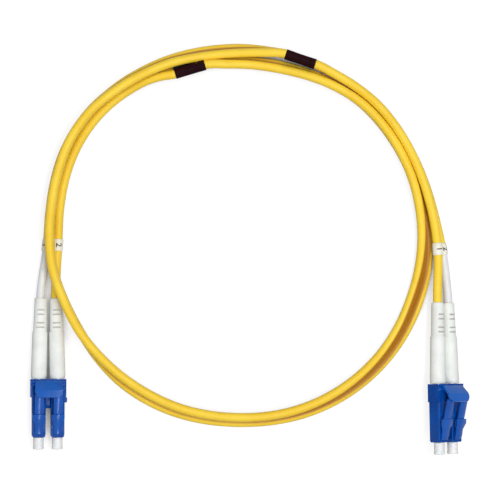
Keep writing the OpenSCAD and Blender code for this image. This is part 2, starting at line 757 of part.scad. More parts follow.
housing(A, 1);  // housing_a1
housing(A, 2);  // housing_a2
housing(B, 1);  // housing_b1
housing(B, 2);  // housing_b2
latch(A, 1);  // latch_a1
latch(A, 2);  // latch_a2
latch(B, 1);  // latch_b1
latch(B, 2);  // latch_b2
ferrule(A, 1);  // ferrule_a1
ferrule(A, 2);  // ferrule_a2
ferrule(B, 1);  // ferrule_b1
ferrule(B, 2);  // ferrule_b2
ferrule_holder(A, 1);  // ferrule_holder_a1
ferrule_holder(A, 2);  // ferrule_holder_a2
ferrule_holder(B, 1);  // ferrule_holder_b1
ferrule_holder(B, 2);  // ferrule_holder_b2
ferrule_spring(A, 1);  // ferrule_spring_a1
ferrule_spring(A, 2);  // ferrule_spring_a2
ferrule_spring(B, 1);  // ferrule_spring_b1
ferrule_spring(B, 2);  // ferrule_spring_b2
buffered_fiber(A, 1);  // buffered_fiber_a1
buffered_fiber(A, 2);  // buffered_fiber_a2
buffered_fiber(B, 1);  // buffered_fiber_b1
buffered_fiber(B, 2);  // buffered_fiber_b2
rear_insert(A, 1);  // rear_insert_a1
rear_insert(A, 2);  // rear_insert_a2
rear_insert(B, 1);  // rear_insert_b1
rear_insert(B, 2);  // rear_insert_b2
crimp_sleeve(A, 1);  // crimp_sleeve_a1
crimp_sleeve(A, 2);  // crimp_sleeve_a2
crimp_sleeve(B, 1);  // crimp_sleeve_b1
crimp_sleeve(B, 2);  // crimp_sleeve_b2
boot(A, 1);  // boot_a1
boot(A, 2);  // boot_a2
boot(B, 1);  // boot_b1
boot(B, 2);  // boot_b2
dust_cap(A, 1);  // dust_cap_a1
dust_cap(A, 2);  // dust_cap_a2
dust_cap(B, 1);  // dust_cap_b1
dust_cap(B, 2);  // dust_cap_b2
duplex_clip(A);  // duplex_clip_a
duplex_clip(B);  // duplex_clip_b
trigger(A);  // trigger_a
trigger(B);  // trigger_b
zip_cord();
leg(before_label(line_a1));  // leg_a1
leg(whole_leg(line_a2));  // leg_a2
leg(whole_leg(line_b1));  // leg_b1
leg(before_label(line_b2));  // leg_b2
white_tube(after_label(line_a1));  // white_tube_a1
white_tube(after_label(line_b2));  // white_tube_b2
shrink_sleeve(A);  // shrink_sleeve_a
shrink_sleeve(B);  // shrink_sleeve_b
label(line_a1);  // label_a1
label(line_a2);  // label_a2
label(line_b1);  // label_b1
label(line_b2);  // label_b2
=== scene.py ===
import math

import bmesh
import bpy
import numpy as np
from mathutils import Matrix, Vector


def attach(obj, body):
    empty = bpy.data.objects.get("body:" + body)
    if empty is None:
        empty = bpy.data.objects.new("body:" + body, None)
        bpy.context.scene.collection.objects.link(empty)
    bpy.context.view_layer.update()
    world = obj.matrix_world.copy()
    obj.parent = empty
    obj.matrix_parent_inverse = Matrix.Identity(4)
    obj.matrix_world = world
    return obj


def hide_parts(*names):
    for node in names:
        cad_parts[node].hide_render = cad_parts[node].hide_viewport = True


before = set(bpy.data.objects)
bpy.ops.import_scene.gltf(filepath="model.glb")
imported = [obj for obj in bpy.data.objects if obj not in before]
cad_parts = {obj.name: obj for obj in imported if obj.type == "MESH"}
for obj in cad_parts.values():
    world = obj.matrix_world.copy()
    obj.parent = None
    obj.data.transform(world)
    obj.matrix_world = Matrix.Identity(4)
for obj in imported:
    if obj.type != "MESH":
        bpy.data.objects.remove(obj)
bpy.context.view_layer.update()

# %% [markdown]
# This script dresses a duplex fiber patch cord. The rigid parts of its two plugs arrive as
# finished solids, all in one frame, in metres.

bpy.context.scene.view_settings.view_transform = "Standard"

# %% [markdown]
# The cord lies flat on a table and is seen from straight above, from 0.8 m. The camera comes
# first, because the cords are checked against what it sees. A camera that looks straight
# down needs no turning at all in Blender: at rest it looks along -Z with +Y up.

# %% Camera
MM = 0.001
COIL = Vector((-3.1, 46.3, 0)) * MM  # middle of the coil
VIEW_MIDDLE = COIL + Vector((3.33, -4.33, 0)) * MM
VIEW_HEIGHT = 0.8
VIEW_WIDTH = 0.1667  # seen at the height of the jackets, VIEW_LEVEL
VIEW_LEVEL = 0.0025
NEAREST = 0.01  # the camera sees nothing nearer than this

camera = bpy.data.objects.new("view_from_above", bpy.data.cameras.new("view_from_above"))
camera.data.sensor_fit = "HORIZONTAL"
camera.data.angle = 2 * math.atan(VIEW_WIDTH / 2 / (VIEW_HEIGHT - VIEW_LEVEL))
camera.data.clip_start = NEAREST
camera.location = (VIEW_MIDDLE.x, VIEW_MIDDLE.y, VIEW_HEIGHT)
bpy.context.scene.collection.objects.link(camera)
bpy.context.scene.camera = camera
print("camera angle", round(math.degrees(camera.data.angle), 2), "degrees")

# %% [markdown]
# A material or a Geometry Nodes tree is a sum of small steps. Adding each node by hand hides
# the sum, so two small classes write it as Python: `Wire` is the output of a node and knows
# how to add, multiply and compare, and `Tree.node` makes any other node from its type, its
# settings and its inputs.


# %% Nodes written as Python
class Wire:
    """The output of a node. Arithmetic on it adds Math nodes."""

    def __init__(self, tree, socket):
        self.tree, self.socket = tree, socket

    def math(self, operation, *values):
        """One more Math node, which starts from this output."""
        return self.tree.node(
            "ShaderNodeMath", {"operation": operation}, dict(enumerate((self, *values))))

    def __add__(self, other):
        return self.math("ADD", other)

    __radd__ = __add__

    def __sub__(self, other):
        return self.math("SUBTRACT", other)

    def __rsub__(self, other):
        return self.tree.node("ShaderNodeMath", {"operation": "SUBTRACT"}, {0: other, 1: self})

    def __mul__(self, other):
        return self.math("MULTIPLY", other)

    __rmul__ = __mul__

    def __truediv__(self, other):
        return self.math("DIVIDE", other)

    def ramp(self, low, high, from_value=0.0, to_value=1.0):
        """A smooth step from from_value at low to to_value at high."""
        return self.tree.node(
            "ShaderNodeMapRange", {"interpolation_type": "SMOOTHSTEP"},
            {0: self, 1: low, 2: high, 3: from_value, 4: to_value})


class Tree:
    """A node tree with one method that makes any node."""

    def __init__(self, tree):
        self.tree = tree

    def node(self, kind, settings=None, values=None, out=0):
        """Adds a node. A value is a number or a Wire, and out picks one of its outputs."""
        made = self.tree.nodes.new(kind)
        for name, value in (settings or {}).items():
            setattr(made, name, value)
        for key, value in (values or {}).items():
            if isinstance(value, Wire):
                self.tree.links.new(value.socket, made.inputs[key])
            else:
                made.inputs[key].default_value = value
        return Wire(self, made.outputs[out]) if len(made.outputs) else made


print("node helpers ready")

# %% [markdown]
# The cord itself is soft, so its solids are only stand-ins for its weight and reach. Its route
# is a spiral of a little more than one turn. Each row gives the angle round the coil, the
# radius, the height of the cord's underside and its tilt: 0 is flat, 90 is on edge. A real
# zip cord rolls over like this wherever it is bent, because it bends only across its flat
# side.

# %% Route of the zip cord
JACKET_D = 0.003
JACKET_PITCH = 0.0031
TUBE_D = 0.0028
SLEEVE_L = 0.0104
ZIP_END = 0.0015  # how far the zip cord runs past the middle of a sleeve

ZIP_ROUTE = [  # angle, radius, underside, tilt
    (94, .0582, .0002, 112), (87, .0581, 0, 117), (80, .0581, 0, 119), (72, .0584, 0, 116),
    (64, .0590, 0, 108), (56, .0596, 0, 98), (48, .0602, 0, 92), (38, .0604, 0, 90),
    (28, .0605, 0, 92), (18, .0607, 0, 98), (9, .0611, 0, 114), (0, .0616, 0, 134),
    (-10, .0619, 0, 155), (-20, .0620, 0, 170), (-30, .0622, 0, 162), (-40, .0623, 0, 153),
    (-50, .0622, 0, 146), (-60, .0620, 0, 140), (-70, .0617, 0, 134), (-80, .0613, 0, 128),
    (-90, .0610, 0, 127), (-100, .0611, 0, 129), (-110, .0614, 0, 132), (-120, .0616, 0, 135),
    (-130, .0618, 0, 128), (-140, .0618, .0003, 109), (-150, .0618, .0018, 90),
    (-160, .0620, .0042, 90), (-170, .0629, .0043, 90), (-180, .0631, .0039, 90),
    (-190, .0634, .0034, 90), (-200, .0641, .0033, 90), (-210, .0649, .0033, 90),
    (-220, .0648, .0033, 92), (-230, .0641, .0033, 106), (-240, .0633, .0032, 113),
    (-248, .0629, .0020, 118), (-256, .0624, .0008, 126), (-264, .0621, .0003, 128),
    (-271, .0621, .0003, 123), (-277.5, .0623, .0005, 108)]
SLEEVE_ROWS = {"a": (106.6, .0587, .0006, 112), "b": (-288.8, .0625, .0006, 92)}


def outward(angle):
    """Away from the coil's middle, at an angle round the coil in degrees."""
    return Vector((math.cos(math.radians(angle)), math.sin(math.radians(angle)), 0))


def onward(angle):
    """The way that the cord runs there, which is clockwise."""
    return Vector((math.sin(math.radians(angle)), -math.cos(math.radians(angle)), 0))


def pair_way(angle, tilt):
    """From the middle of the first jacket to the middle of the second."""
    lean = math.radians(tilt)
    return math.cos(lean) * outward(angle) + Vector((0, 0, math.sin(lean)))


def zip_middle(row):
    """The middle of the web between the two jackets, for a row of the route."""
    angle, radius, underside, tilt = row
    rise = underside + JACKET_D / 2 + JACKET_PITCH / 2 * math.sin(math.radians(tilt))
    return COIL + radius * outward(angle) + Vector((0, 0, rise))


def sleeve_point(plug, along):
    """A point of the line through a shrink sleeve, along from the sleeve's middle."""
    row = SLEEVE_ROWS[plug]
    return zip_middle(row) + along * onward(row[0])


SLEEVE_OUT = SLEEVE_L / 2 + 0.0008  # just outside the sleeve
zip_points = [sleeve_point("a", -ZIP_END), sleeve_point("a", SLEEVE_OUT)]
zip_points += [zip_middle(row) for row in ZIP_ROUTE]
zip_points += [sleeve_point("b", -SLEEVE_OUT), sleeve_point("b", ZIP_END)]
zip_rows = [SLEEVE_ROWS["a"]] * 2 + ZIP_ROUTE + [SLEEVE_ROWS["b"]] * 2
print("zip cord passes", len(zip_points), "points")

# %% [markdown]
# Each end splits into two legs, one for each connector. A leg leaves the shrink sleeve beside
# its twin, follows the coil on its own and runs straight into its boot. The plugs lie rolled
# to one side and tipped a little, so the last two points of each leg are worked out in the
# plug's own frame, where +Y runs back to the cable.

# %% Routes of the legs
PLUGS = {  # middle of the clip's rear face, then roll, tip and turn in degrees
    "a": (Vector((-67, -1, 3.618)) * MM, 8, 2.3, 0),
    "b": (Vector((64.85, -2.5, 5.513)) * MM, 41, 3.5, 1)}
PORTS = ("a1", "a2", "b1", "b2")
HALF_PITCH = 0.003125
BOOT_LEAN = math.radians(1.4)  # the boots lean towards each other
LEAN_AT, BOOT_REAR, JACKET_START = 0.0010, 0.02695, 0.0067  # behind the clip's rear face
LEG_GAP, LEG_OUT = 0.0001, 0.001  # from the zip cord's end, and past the sleeve's end

LEG_ROUTES = {  # angle, radius, height of the middle
    "a1": [(115, .0609, .0018), (121, .0628, .0015), (129, .0644, .0015), (137, .0653, .0015),
           (146, .0655, .0015), (155, .0653, .0015), (164, .0646, .0015), (172, .0641, .0015),
           (182.5, .0644, .0020)],
    "a2": [(115, .0592, .0047), (120, .0604, .0042), (127, .0613, .0030), (135, .0620, .0020),
           (144, .0623, .0016), (153, .0621, .0015), (162, .0615, .0015), (171, .0609, .0016),
           (182.5, .0608, .0022)],
    "b1": [(60, .0627, .0049), (52, .0631, .0047), (44, .0635, .0047), (36, .0635, .0047),
           (28, .0635, .0047), (20, .0636, .0047), (12, .0640, .0047), (4, .0648, .0049),
           (-3.5, .0658, .0052)],
    "b2": [(60, .0628, .0016), (52, .0632, .0015), (44, .0636, .0015), (36, .0636, .0015),
           (28, .0637, .0015), (20, .0640, .0015), (12, .0646, .0015), (4, .0657, .0016),
           (-3.5, .0675, .0018)]}
JACKET_SIDE = {"a1": -1, "a2": 1, "b1": 1, "b2": -1}  # which jacket of the zip it continues


def plug_turn(plug):
    """How the plug lies: rolled to one side, tipped up at its nose and turned."""
    _, roll, tip, turn = PLUGS[plug]
    return (Matrix.Rotation(math.radians(turn), 3, "Z")
            @ Matrix.Rotation(-math.radians(tip), 3, "X")
            @ Matrix.Rotation(math.radians(roll), 3, "Y"))


def in_plug(plug, x, y, z):
    """A point of the plug's own frame, on the table."""
    return PLUGS[plug][0] + plug_turn(plug) @ Vector((x, y, z))


def boot_axis(port, back):
    """The point of the boot's axis that lies back behind the clip's rear face."""
    side = -1 if port[1] == "1" else 1
    reach = back - LEAN_AT
    return in_plug(port[0], side * (HALF_PITCH - reach * math.sin(BOOT_LEAN)),
                   LEAN_AT + reach * math.cos(BOOT_LEAN), 0)


def leg_points(port):
    """The points that a leg passes, from its sleeve to its boot."""
    plug = port[0]
    way = -1 if plug == "a" else 1
    row = SLEEVE_ROWS[plug]
    beside = JACKET_SIDE[port] * JACKET_PITCH / 2 * pair_way(row[0], row[3])
    starts = [sleeve_point(plug, way * s) + beside
              for s in (ZIP_END + LEG_GAP, SLEEVE_L / 2 + LEG_OUT)]
    middle = [COIL + radius * outward(angle) + Vector((0, 0, height))
              for angle, radius, height in LEG_ROUTES[port]]
    return starts + middle + [boot_axis(port, BOOT_REAR + JACKET_D),
                              boot_axis(port, JACKET_START)]


leg_ways = {port: leg_points(port) for port in PORTS}
print("leg points", {port: len(points) for port, points in leg_ways.items()})

# %% [markdown]
# The rows are joined by a smooth curve. A cubic piece runs between each two points, and its
# slope at a point is the mean of the chords on both sides, weighted by their lengths. That
# passes through every point and has no kinks, as a jacket has none. The tilt is smoothed
# with the same rule, as a fourth coordinate.


# %% Smooth curves
RING_STEP = 0.0012  # between two rings of a swept jacket


def smooth(rows, step=RING_STEP):
    """Points on cubic pieces through rows, about step apart along the first three numbers."""
    rows = np.array(rows, float)
    gaps = np.maximum(np.linalg.norm(np.diff(rows[:, :3], axis=0), axis=1), 1e-9)
    chords = np.diff(rows, axis=0) / gaps[:, None]
    slopes = np.empty_like(rows)
    slopes[0], slopes[-1] = chords[0], chords[-1]
    for i in range(1, len(rows) - 1):
        before, after = gaps[i - 1], gaps[i]
        slopes[i] = (chords[i - 1] * after + chords[i] * before) / (before + after)
    out = []
    for i, gap in enumerate(gaps):
        for t in np.linspace(0, 1, max(2, round(gap / step)) + 1)[:-1]:
            out.append((2 * t**3 - 3 * t**2 + 1) * rows[i]
                       + (t**3 - 2 * t**2 + t) * gap * slopes[i]
                       + (3 * t**2 - 2 * t**3) * rows[i + 1]
                       + (t**3 - t**2) * gap * slopes[i + 1])
    out.append(rows[-1])
    return np.array(out)


def run_of(points):
    """Length of a line of points."""
    return float(np.linalg.norm(np.diff(np.array(points)[:, :3], axis=0), axis=1).sum())


zip_line = smooth([(*p, row[3]) for p, row in zip(zip_points, zip_rows)])
print("zip cord", round(run_of(zip_line), 4), "m in", len(zip_line), "rings")

# %% [markdown]
# A leg ends in its boot, but a small number label sits on it first, where it runs straight.
# On one leg of each pair the yellow jacket stops in the middle of that label and a white tube
# goes on. The smooth line is cut there, so that each piece gets its own stretch of it.

# %% Where the legs change
LABEL_L = 0.004
TUBED = ("a1", "b2")  # the legs that end in a white tube
leg_lines, label_places = {}, {}
for port in PORTS:
    line = smooth(leg_ways[port])
    label_spot = np.array(leg_ways[port][-3])  # the last point before the boot's axis
    at = int(np.argmin(np.linalg.norm(line - label_spot, axis=1)))
    label_places[port] = (Vector(line[at]), Vector(line[at + 1] - line[at - 1]).normalized())
    leg_lines[port] = (line[:at + 1], line[at:]) if port in TUBED else (line,)
    print(port, [round(run_of(part), 4) for part in leg_lines[port]], "m, label at",
          [round(c, 4) for c in label_places[port][0]])

# %% [markdown]
# An outline swept along a curve is what Geometry Nodes do best. The modelled cord starts as a
# bare chain of edges that carries one vector a point, the way from the first jacket to the
# second. The tree turns the chain into a curve, sets that vector as the curve's normal and
# sweeps the outline of two jackets joined by a thin web. It stores how far round and how far
# along each point lies, so that the material can find the groove and paint shade into it.


# %% The sweeping trees
def sweep_tree(name, twin):
    """A Geometry Nodes tree that sweeps one jacket, or two with a web, along a chain."""
    group = bpy.data.node_groups.new(name, "GeometryNodeTree")
    sockets = [("Chain", "NodeSocketGeometry"), ("Jacket radius", "NodeSocketFloat"),
               ("Points round", "NodeSocketInt"), ("Jacket spacing", "NodeSocketFloat"),
               ("Web angle", "NodeSocketFloat"), ("Finish", "NodeSocketMaterial")]
    for label, kind in sockets:
        group.interface.new_socket(label, in_out="INPUT", socket_type=kind)
    group.interface.new_socket("Cord", in_out="OUTPUT", socket_type="NodeSocketGeometry")
    tree = Tree(group)
    start = group.nodes.new("NodeGroupInput")
    given = {s.name: Wire(tree, s) for s in start.outputs if s.name}

    # The outline: a ring of points, moved onto the jackets
    index = tree.node("GeometryNodeInputIndex")
    points, radius = given["Points round"], given["Jacket radius"]
    circle = "GeometryNodeCurvePrimitiveCircle"
    if twin:
        ring = tree.node(circle, {}, {"Resolution": points * 2, "Radius": radius})
        second = index.math("GREATER_THAN", points - 0.5)
        flip = 1 - second * 2
        angle = given["Web angle"] * ((index - second * points) / (points - 1) * 2 - 1)
        x = flip * (given["Jacket spacing"] / 2 + radius * angle.math("COSINE"))
        y = flip * radius * angle.math("SINE")
        place = tree.node("ShaderNodeCombineXYZ", {}, {"X": x, "Y": y})
        ring = tree.node("GeometryNodeSetPosition", {}, {"Geometry": ring, "Position": place})
        inward = angle.math("ABSOLUTE") / given["Web angle"]
    else:
        ring = tree.node(circle, {}, {"Resolution": points, "Radius": radius})
        angle = index / points * math.tau
        inward = index * 0
    for label, value in (("around", angle), ("inward", inward)):
        ring = tree.node("GeometryNodeStoreNamedAttribute",
                         {"data_type": "FLOAT", "domain": "POINT"},
                         {"Geometry": ring, "Name": label, "Value": value})

    # The line that it follows
    across = tree.node("GeometryNodeInputNamedAttribute", {"data_type": "FLOAT_VECTOR"},
                       {"Name": "across"})
    line = tree.node("GeometryNodeMeshToCurve", {}, {"Mesh": given["Chain"]})
    line = tree.node("GeometryNodeSetCurveNormal", {"mode": "FREE"},
                     {"Curve": line, "Normal": across})
    far = tree.node("GeometryNodeSplineParameter", out=1)
    line = tree.node("GeometryNodeStoreNamedAttribute",
                     {"data_type": "FLOAT", "domain": "POINT"},
                     {"Geometry": line, "Name": "along", "Value": far})
    cord = tree.node("GeometryNodeCurveToMesh", {},
                     {"Curve": line, "Profile Curve": ring, "Fill Caps": True})
    cord = tree.node("GeometryNodeSetShadeSmooth", {}, {"Geometry": cord})
    cord = tree.node("GeometryNodeRealizeInstances", {}, {"Geometry": cord})
    cord = tree.node("GeometryNodeSetMaterial", {},
                     {"Geometry": cord, "Material": given["Finish"]})
    end = group.nodes.new("NodeGroupOutput")
    group.links.new(cord.socket, end.inputs[0])
    return group


twin_tree, single_tree = sweep_tree("twin cord", True), sweep_tree("single cord", False)
print("sweeping trees", len(twin_tree.nodes), len(single_tree.nodes), "nodes")

# %% [markdown]
# The modifier gets its sizes through the sockets' identifiers before anything is evaluated.
# The evaluated result is then copied to a plain mesh and the modifier goes, so that the piece
# is ordinary geometry with its place in its mesh.


# %% Sweeping a piece
def link(name, mesh):
    """An object with this mesh, in the scene."""
    piece = bpy.data.objects.new(name, mesh)
    bpy.context.scene.collection.objects.link(piece)
    return piece


def evaluated(piece):
    """Replaces the piece's mesh by what its modifiers make of it, and drops them."""
    bpy.context.view_layer.update()
    seen = piece.evaluated_get(bpy.context.evaluated_depsgraph_get())
    mesh = bpy.data.meshes.new_from_object(seen)
    mesh.name = piece.name
    piece.modifiers.clear()
    piece.data = mesh
    return piece


def swept(name, tree, line, across, finish, **sizes):
    """A piece swept along a line. Sizes are the tree's inputs, with _ for a space."""
    mesh = bpy.data.meshes.new(name)
    edges = [(i, i + 1) for i in range(len(line) - 1)]
    mesh.from_pydata([tuple(p[:3]) for p in line], edges, [])
    ways = mesh.attributes.new("across", "FLOAT_VECTOR", "POINT")
    ways.data.foreach_set("vector", np.array(across, float).ravel())
    piece = link(name, mesh)
    modifier = piece.modifiers.new("sweep", "NODES")
    modifier.node_group = tree
    given = {key.replace("_", " "): value for key, value in sizes.items()}
    given["Finish"] = finish
    for item in tree.interface.items_tree:
        if item.in_out == "INPUT" and item.name in given:
            modifier[item.identifier] = given[item.name]
    evaluated(piece)
    print(name, len(piece.data.polygons), "faces, box",
          np.round(np.ptp([v.co for v in piece.data.vertices], axis=0) * 1000, 1), "mm")
    return piece


def level_across(line):
    """For a round cord: sideways to the line and level."""
    ahead = np.gradient(np.array(line)[:, :3], axis=0)
    side = np.cross(ahead, (0, 0, 1))
    return side / np.linalg.norm(side, axis=1)[:, None]


def twin_across(line):
    """For the zip cord: square to the line, tilted as its fourth column says."""
    ahead = np.gradient(line[:, :3], axis=0)
    ahead /= np.linalg.norm(ahead, axis=1)[:, None]
    out = line[:, :2] - np.array(COIL)[:2]
    out = np.column_stack([out / np.linalg.norm(out, axis=1)[:, None], np.zeros(len(out))])
    tilt = np.radians(line[:, 3])[:, None]
    way = np.cos(tilt) * out + np.sin(tilt) * np.array((0, 0, 1))
    way -= (way * ahead).sum(axis=1)[:, None] * ahead
    return way / np.linalg.norm(way, axis=1)[:, None]


print("sweep ready")

# %% [markdown]
# Nothing here is one flat colour. A moulded or extruded plastic varies a little in tone, has
# a fine surface and picks up a few rubbed places. One helper gives each plastic these three:
# a tone that drifts between two colours, a roughness that drifts with a finer noise and a
# bump of a known height. All read Object coordinates, which here are real metres.


# %% Finishes
def srgb(red, green, blue):
    """A colour written as 0 to 255, in the linear numbers that shaders use."""
    return tuple((c / 255 / 12.92 if c <= 10 else ((c / 255 + 0.055) / 1.055) ** 2.4)
                 for c in (red, green, blue)) + (1.0,)


class Finish:
    """A Principled material with helpers for the patterns that it is made of."""

    def __init__(self, name, **constants):
        self.material = bpy.data.materials.new(name)
        self.material.use_nodes = True
        self.tree = Tree(self.material.node_tree)
        self.shader = self.material.node_tree.nodes["Principled BSDF"]
        for key, value in constants.items():
            self.shader.inputs[key.replace("_", " ")].default_value = value
        self.place = self.tree.node("ShaderNodeTexCoord", out=3)

    def noise(self, size, stretch=None, detail=3.0):
        """Noise whose blobs are about size metres across."""
        where = self.place
        if stretch:
            where = self.tree.node("ShaderNodeMapping", {}, {"Vector": where, "Scale": stretch})
        return self.tree.node("ShaderNodeTexNoise", {}, {
            "Vector": where, "Scale": 1 / size, "Detail": detail})

    def attribute(self, name):
        """A number stored on the piece itself."""
        return self.tree.node("ShaderNodeAttribute", {"attribute_name": name}, out=2)

    def blend(self, factor, first, second):
        """A colour between two, by a factor from 0 to 1."""
        return self.tree.node("ShaderNodeMix", {"data_type": "RGBA"},
                              {0: factor, 6: first, 7: second}, out=2)

    def paint(self, color, roughness, height=None, depth=0.0):
        """Links the patterns to the shader. A height of 1 stands out by depth metres."""
        links = self.material.node_tree.links
        links.new(color.socket, self.shader.inputs["Base Color"])
        links.new(roughness.socket, self.shader.inputs["Roughness"])
        if height is not None:
            bump = self.tree.node("ShaderNodeBump", {}, {
                "Height": height, "Distance": depth, "Strength": 1.0})
            links.new(bump.socket, self.shader.inputs["Normal"])
        return self.material


def plastic(name, base, drift, rough=(0.3, 0.4), grain=0.0003, depth=0.000004, **constants):
    """A moulded plastic that drifts between two tones, with a fine grain."""
    finish = Finish(name, **constants)
    tone = finish.noise(0.006).ramp(0.35, 0.65)
    fine = finish.noise(grain, detail=4.0)
    return finish.paint(finish.blend(tone, base, drift),
                        finish.noise(0.0015).ramp(0.3, 0.7, *rough), fine, depth)


print("finish helpers ready")

# %% [markdown]
# The jacket is soft yellow vinyl. Light passes a little way into it, so its shaded side turns
# amber. The groove between two jackets gets painted shade: its base colour is darkened to brown
# there, for the shade where light bounces from yellow to yellow. On the right of the coil the
# groove is turned away from the lamp, and the painted shade is wider there. At the bottom light
# falls into it, and the painted shade is paler. Long faint streaks run along an extruded jacket,
# so the streaks follow the stored attributes instead of space.


# %% Jacket finish
STREAKS_ROUND, STREAKS_ALONG = 5.0, 8  # how fine the streaks are, round and along the jacket


def stretch(along, start, end):
    """1 on one stretch of the cord. start and end are two places each, in metres along it."""
    return along.ramp(*start) * (1 - along.ramp(*end))


def jacket_finish(name, groove):
    """Yellow vinyl with streaks, and for the zip cord with painted shade in its groove."""
    finish = Finish(name, Subsurface_Weight=0.1, Subsurface_Scale=0.002,
                    Specular_IOR_Level=0.3)
    finish.shader.inputs["Subsurface Radius"].default_value = (1.0, 0.55, 0.1)
    around, along = finish.attribute("around"), finish.attribute("along")
    streak_place = finish.tree.node("ShaderNodeCombineXYZ", {}, {
        "X": around.math("COSINE"), "Y": around.math("SINE"), "Z": along * STREAKS_ALONG})
    streaks = finish.tree.node("ShaderNodeTexNoise", {}, {
        "Vector": streak_place, "Scale": STREAKS_ROUND, "Detail": 3.0})
    tone = finish.blend(finish.noise(0.012).ramp(0.35, 0.65), srgb(250, 212, 60),
                        srgb(243, 202, 48))
    tone = finish.blend(streaks.ramp(0.45, 0.75, 0.0, 0.35), tone, srgb(252, 222, 90))
    if groove:
        # Painted shade: the groove's base colour is darkened to brown, wider where the groove
        # turns from the lamp and paler at the bottom of the coil.
        turned_away = stretch(along, (0.05, 0.09), (0.15, 0.2))
        lit = stretch(along, (0.185, 0.215), (0.27, 0.29))
        shade = finish.attribute("inward") + turned_away * 0.2
        tone = finish.blend(shade.ramp(0.68, 0.88) * (0.95 - 0.4 * lit), tone,
                            srgb(172, 112, 22))
    rough = finish.noise(0.002).ramp(0.3, 0.7, 0.36, 0.5)
    return finish.paint(tone, rough, streaks * 0.6 + finish.noise(0.0004) * 0.4, 0.00001)


yellow_zip = jacket_finish("yellow_zip_jacket", True)
yellow_leg = jacket_finish("yellow_leg_jacket", False)
white_vinyl = plastic("white_vinyl", srgb(232, 234, 236), srgb(224, 227, 230),
                      rough=(0.35, 0.5), Subsurface_Weight=0.1, Subsurface_Scale=0.001)
print("jacket finishes made")

# %% [markdown]
# Now the jackets. The zip cord is swept with the tree for two jackets and each leg with the
# tree for one. A white tube is swept like a leg, only thinner and with its own finish.

# %% Jackets
TWIN_POINTS, SINGLE_POINTS = 22, 28  # round each jacket
WEB_ANGLE = math.radians(166)  # where the web meets a jacket, counted from its far side


def round_jacket(name, line, diameter, finish):
    """A single jacket or tube along its line."""
    piece = swept(name, single_tree, line, level_across(line), finish,
                  Jacket_radius=diameter / 2, Points_round=SINGLE_POINTS)
    return piece


zip_piece = swept("zip_cord_jackets", twin_tree, zip_line, twin_across(zip_line), yellow_zip,
                  Jacket_radius=JACKET_D / 2, Points_round=TWIN_POINTS,
                  Jacket_spacing=JACKET_PITCH, Web_angle=WEB_ANGLE)
leg_pieces, tube_pieces = {}, {}
for port in PORTS:
    leg_pieces[port] = round_jacket("leg_jacket_" + port, leg_lines[port][0], JACKET_D,
                                    yellow_leg)
    if port in TUBED:
        tube_pieces[port] = round_jacket("white_tube_end_" + port, leg_lines[port][1], TUBE_D,
                                         white_vinyl)

# %% [markdown]
# A shrink sleeve closes over the split. It was a straight tube until hot air shrank it, so it
# hugs the two jackets: oval, a little waisted between them, with a soft rim at each end. Its
# rings are written out in a loop, because its outline changes along its length.


# %% Shrink sleeves
def ring_mesh(name, rings):
    """A closed mesh from rings of points: each is joined to the next, the last to the first."""
    mesh, count = bpy.data.meshes.new(name), len(rings[0])
    starts = [count * i for i in range(len(rings))] + [0]
    faces = [(here + j, here + (j + 1) % count, after + (j + 1) % count, after + j)
             for here, after in zip(starts, starts[1:]) for j in range(count)]
    mesh.from_pydata([tuple(p) for ring in rings for p in ring], [], faces)
    work = bmesh.new()
    work.from_mesh(mesh)
    bmesh.ops.recalc_face_normals(work, faces=work.faces)
    work.to_mesh(mesh)
    work.free()
    mesh.shade_smooth()
    return mesh


CROSSING = 6  # how quickly the outline goes over from one jacket to the other
NECK_REACH = 0.45  # how far to each side the waist reaches, as a share of the radius


def two_jacket_outline(radius, waist, count=48):
    """An oval round two jackets, drawn in by waist between them."""
    out = []
    for k in range(count):
        a = math.tau * k / count
        x, y = math.cos(a), math.sin(a)
        push = JACKET_PITCH / 2 * math.tanh(CROSSING * x)
        neck = waist * math.exp(-(x / NECK_REACH) ** 2)
        out.append((push + radius * x, (radius - neck) * y))
    return out


SLEEVE_WALL, SLEEVE_WAIST = 0.00035, 0.00028
SLEEVE_PROFILE = [  # along the sleeve, how far out of the jackets: outside, then back inside
    (-1.0, 0.20), (-0.998, 0.55), (-0.99, 0.80), (-0.97, 0.94), (-0.92, 1.0), (-0.6, 0.97),
    (-0.3, 0.95), (0, 0.96), (0.3, 0.95), (0.6, 0.97), (0.92, 1.0), (0.97, 0.94),
    (0.99, 0.80), (0.998, 0.55), (1.0, 0.20), (0.99, 0.08), (0, 0.08), (-0.99, 0.08)]


def shrink_sleeve(plug, finish):
    """The sleeve over the split beside a plug's legs."""
    row = SLEEVE_ROWS[plug]
    middle, ahead, wide = zip_middle(row), onward(row[0]), pair_way(row[0], row[3])
    high = ahead.cross(wide)
    rings = []
    for at, out in SLEEVE_PROFILE:
        waist = SLEEVE_WAIST * (1 - 0.5 * abs(at)) * min(1, out)
        ring = two_jacket_outline(JACKET_D / 2 + SLEEVE_WALL * out, waist)
        centre = middle + ahead * at * SLEEVE_L / 2
        rings.append([centre + wide * x + high * y for x, y in ring])
    mesh = ring_mesh("shrink_sleeve_" + plug, rings)
    mesh.materials.append(finish)
    piece = link("split_sleeve_" + plug, mesh)
    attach(piece, "cord")
    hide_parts("shrink_sleeve_" + plug)
    print(piece.name, len(mesh.polygons), "faces")
    return piece


shrink_film = Finish("black_shrink_film", Specular_IOR_Level=0.05)
shrink_black = shrink_film.paint(
    shrink_film.blend(shrink_film.noise(0.003).ramp(0.35, 0.7), srgb(26, 4, 9),
                      srgb(38, 9, 15)),
    shrink_film.noise(0.001).ramp(0.3, 0.7, 0.5, 0.65),
    shrink_film.noise(0.0005), 0.00002)
sleeves = {plug: shrink_sleeve(plug, shrink_black) for plug in PLUGS}

# %% [markdown]
# A number label is a short white sleeve slid over the jacket. It is turned like a ring on a
# lathe, from a profile that goes along the outside and back along the inside. Its ends are
# rounded a little, as film is where it is cut.


